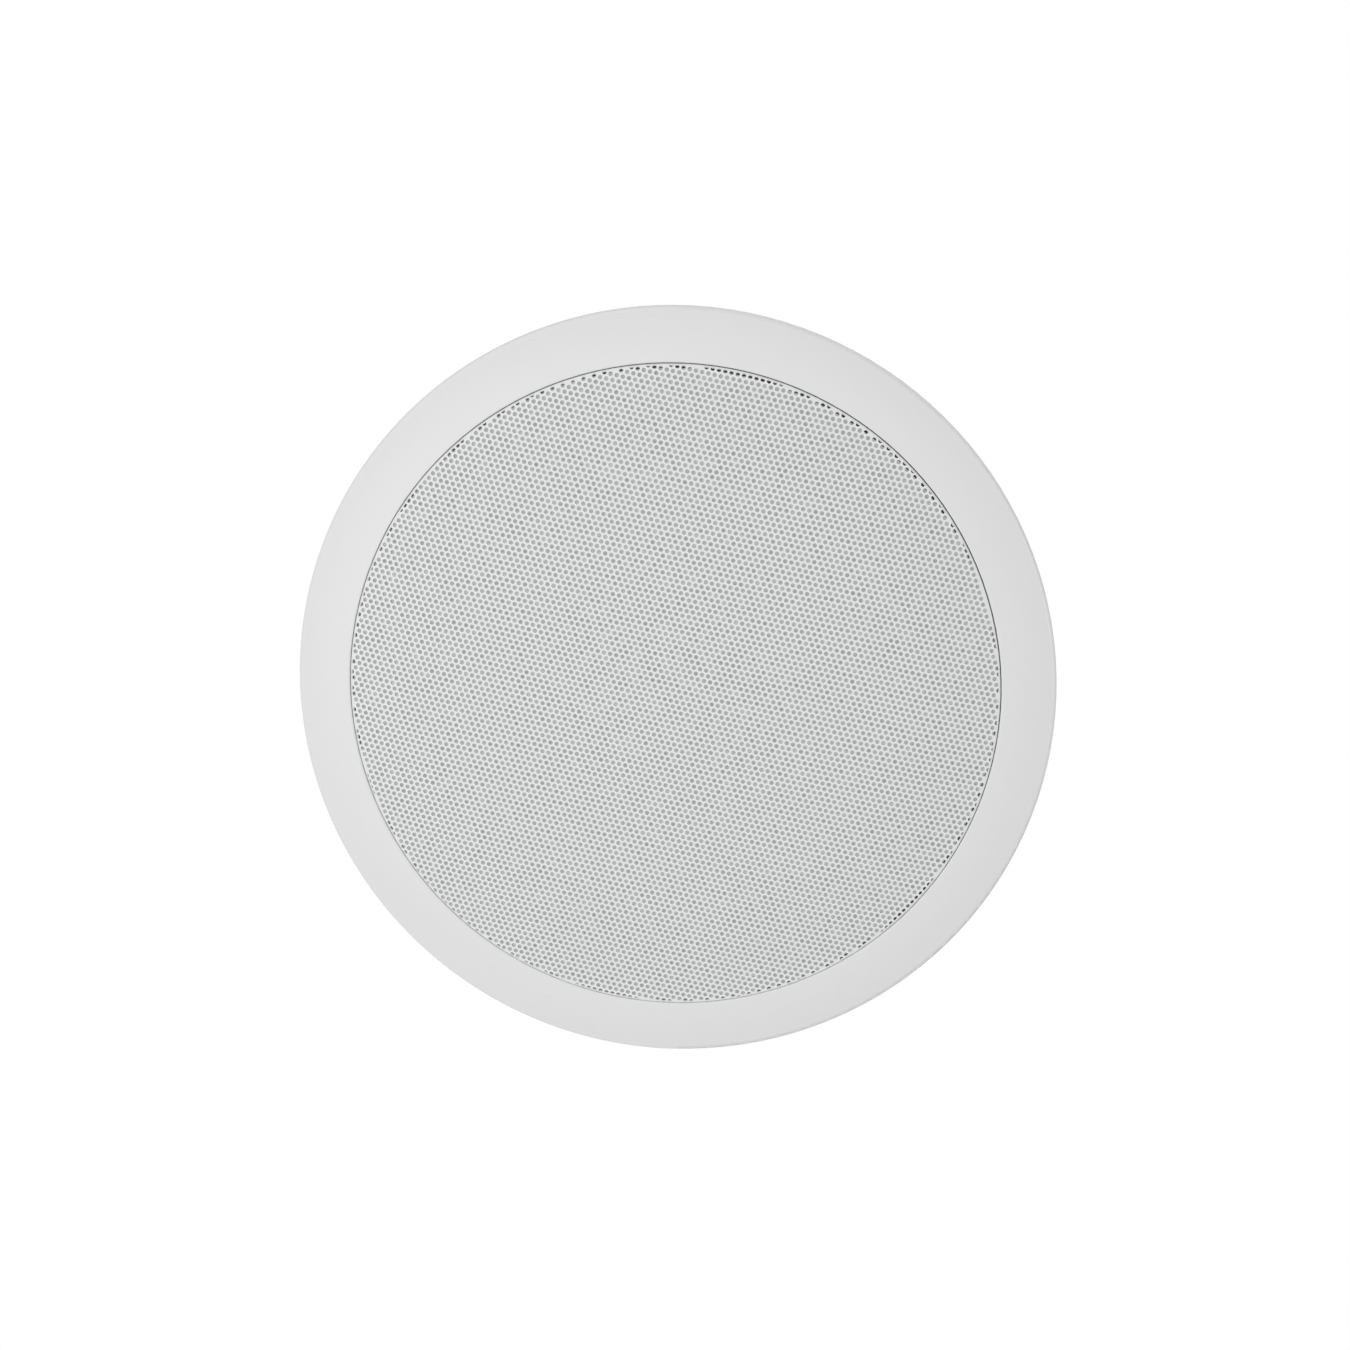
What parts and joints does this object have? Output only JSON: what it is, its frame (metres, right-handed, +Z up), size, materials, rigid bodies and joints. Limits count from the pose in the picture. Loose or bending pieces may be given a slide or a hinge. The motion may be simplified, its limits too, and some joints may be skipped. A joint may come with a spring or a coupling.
{
  "type": "in-ceiling speaker",
  "caption": "Round in-ceiling speaker: white moulded bezel, domed perforated grille over cloth, coaxial drivers, rear crossover with push terminals and swing-out ceiling clamps.",
  "frame": {"origin": "centre of the cut-out barrel, on the ceiling's lower face", "axes": "+Z up into the ceiling along the speaker's axis, the grille faces -Z, +X towards the wire terminals"},
  "size_m": [0.23, 0.23, 0.0989],
  "materials": {
    "white_abs": "satin",
    "white_coated_steel": "satin",
    "scrim_weave": "matte",
    "black_coated_steel": "satin",
    "black_foam": "matte",
    "black_rubber": "satin",
    "grey_pulp": "matte",
    "amber_film": "gloss",
    "copper_wire": "gloss",
    "ochre_cloth": "matte",
    "zinc_steel": "satin",
    "ferrite": "matte",
    "nickel_magnet": "gloss",
    "brown_fibre": "satin",
    "tinned_metal": "satin",
    "silver_braid": "satin",
    "black_screw_steel": "satin",
    "plated_screw_steel": "satin",
    "black_plastic": "satin",
    "silk": "satin",
    "board_laminate": "satin",
    "nylon_bobbin": "satin",
    "yellow_epoxy": "gloss",
    "dark_sleeve": "gloss",
    "white_cement": "matte",
    "red_plastic": "satin",
    "lead_insulation": "satin",
    "natural_nylon": "satin"
  },
  "bodies": {
    "housing": {"bezel_frame": "white_abs", "grille": "white_coated_steel", "scrim_cloth": "scrim_weave", "woofer_basket": "black_coated_steel", "woofer_gasket": "black_foam", "woofer_surround": "black_rubber", "tweeter_coil": "copper_wire", "inductor_winding": "copper_wire", "spider": "ochre_cloth", "woofer_top_plate": "zinc_steel", "woofer_yoke": "zinc_steel", "tweeter_pot": "zinc_steel", "tweeter_top_plate": "zinc_steel", "woofer_magnet": "ferrite", "tweeter_magnet": "nickel_magnet", "tag_strip": "brown_fibre", "solder_tags": "tinned_metal", "contact_red": "tinned_metal", "contact_black": "tinned_metal", "tinsel_leads": "silver_braid", "woofer_screws": "black_screw_steel", "bridge_screws": "black_screw_steel", "tray_screws": "plated_screw_steel", "board_screws": "plated_screw_steel", "tweeter_bridge": "black_plastic", "tweeter_face_ring": "black_plastic", "crossover_tray": "black_plastic", "terminal_housing": "black_plastic", "tweeter_dome": "silk", "circuit_board": "board_laminate", "inductor_bobbin": "nylon_bobbin", "film_capacitor": "yellow_epoxy", "electrolytic_capacitor": "dark_sleeve", "crossover_resistor": "white_cement", "woofer_leads": "lead_insulation", "tweeter_leads": "lead_insulation"},
    "cone_assembly": {"woofer_cone": "grey_pulp", "dust_cap": "grey_pulp", "voice_coil_former": "amber_film", "voice_coil": "copper_wire"},
    "red_button": {"button_red": "red_plastic"},
    "black_button": {"button_black": "black_plastic"},
    "clamp_1_screw": {"clamp_screw_1": "plated_screw_steel"},
    "clamp_1_dog": {"clamp_dog_1": "natural_nylon"},
    "clamp_2_screw": {"clamp_screw_2": "plated_screw_steel"},
    "clamp_2_dog": {"clamp_dog_2": "natural_nylon"},
    "clamp_3_screw": {"clamp_screw_3": "plated_screw_steel"},
    "clamp_3_dog": {"clamp_dog_3": "natural_nylon"},
    "clamp_4_screw": {"clamp_screw_4": "plated_screw_steel"},
    "clamp_4_dog": {"clamp_dog_4": "natural_nylon"}
  },
  "joints": [
    {"name": "clamp_1_swing", "type": "hinge", "parent": "housing", "child": "clamp_1_screw", "pos_m": [0.06413, 0.06413, 0.009], "axis": [0, 0, 1], "range_deg": [0, 90]},
    {"name": "clamp_1_travel", "type": "slide", "parent": "clamp_1_screw", "child": "clamp_1_dog", "axis": [0, 0, -1], "range_m": [0, 0.026]},
    {"name": "clamp_2_swing", "type": "hinge", "parent": "housing", "child": "clamp_2_screw", "pos_m": [-0.06413, 0.06413, 0.009], "axis": [0, 0, 1], "range_deg": [0, 90]},
    {"name": "clamp_2_travel", "type": "slide", "parent": "clamp_2_screw", "child": "clamp_2_dog", "axis": [0, 0, -1], "range_m": [0, 0.026]},
    {"name": "clamp_3_swing", "type": "hinge", "parent": "housing", "child": "clamp_3_screw", "pos_m": [-0.06413, -0.06413, 0.009], "axis": [0, 0, 1], "range_deg": [0, 90]},
    {"name": "clamp_3_travel", "type": "slide", "parent": "clamp_3_screw", "child": "clamp_3_dog", "axis": [0, 0, -1], "range_m": [0, 0.026]},
    {"name": "clamp_4_swing", "type": "hinge", "parent": "housing", "child": "clamp_4_screw", "pos_m": [0.06413, -0.06413, 0.009], "axis": [0, 0, 1], "range_deg": [0, 90]},
    {"name": "clamp_4_travel", "type": "slide", "parent": "clamp_4_screw", "child": "clamp_4_dog", "axis": [0, 0, -1], "range_m": [0, 0.026]},
    {"name": "cone_travel", "type": "slide", "parent": "housing", "child": "cone_assembly", "axis": [0, 0, -1], "range_m": [-0.0035, 0.0035], "stiffness_N_per_m": 1400, "deforming": ["woofer_surround", "spider", "tinsel_leads"]},
    {"name": "red_button_press", "type": "slide", "parent": "housing", "child": "red_button", "axis": [0, 0, -1], "range_m": [0, 0.0025], "stiffness_N_per_m": 600, "deforming": ["contact_red"]},
    {"name": "black_button_press", "type": "slide", "parent": "housing", "child": "black_button", "axis": [0, 0, -1], "range_m": [0, 0.0025], "stiffness_N_per_m": 600, "deforming": ["contact_black"]}
  ]
}
